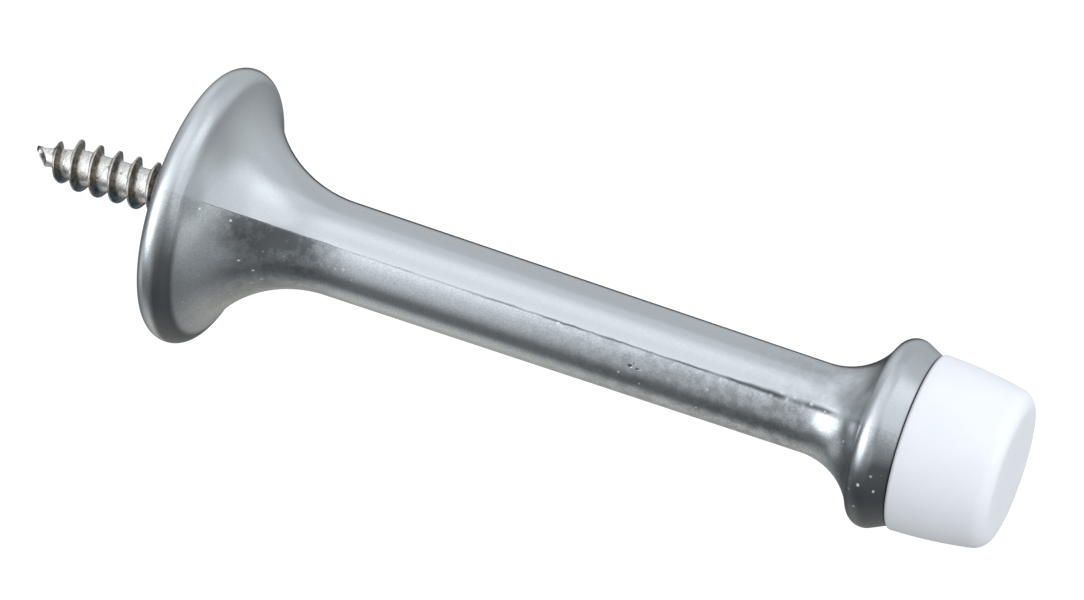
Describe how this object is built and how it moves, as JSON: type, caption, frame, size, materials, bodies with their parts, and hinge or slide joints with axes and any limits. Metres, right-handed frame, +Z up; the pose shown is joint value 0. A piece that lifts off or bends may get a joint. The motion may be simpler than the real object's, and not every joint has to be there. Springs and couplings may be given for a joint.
{
  "type": "rigid door stop",
  "caption": "Rigid wall-mounted door stop: round flange flaring into a slim metal stem, with a collar, a white rubber bumper and a wood screw out of the back.",
  "frame": {"origin": "centre of the flange's back face, on the wall plane", "axes": "+X out of the wall along the stem to the bumper, +Z up; the screw points to -X"},
  "size_m": [0.0927, 0.0254, 0.0254],
  "materials": {
    "satin_chrome": "satin chrome plate over a die casting, with fine pits",
    "white_rubber": "smooth matt white",
    "screw_steel": "plain rolled steel, slightly dark between the threads"
  },
  "bodies": {
    "root": {"stem_casting": "satin_chrome", "rubber_bumper": "white_rubber", "wall_screw": "screw_steel"}
  },
  "joints": []
}
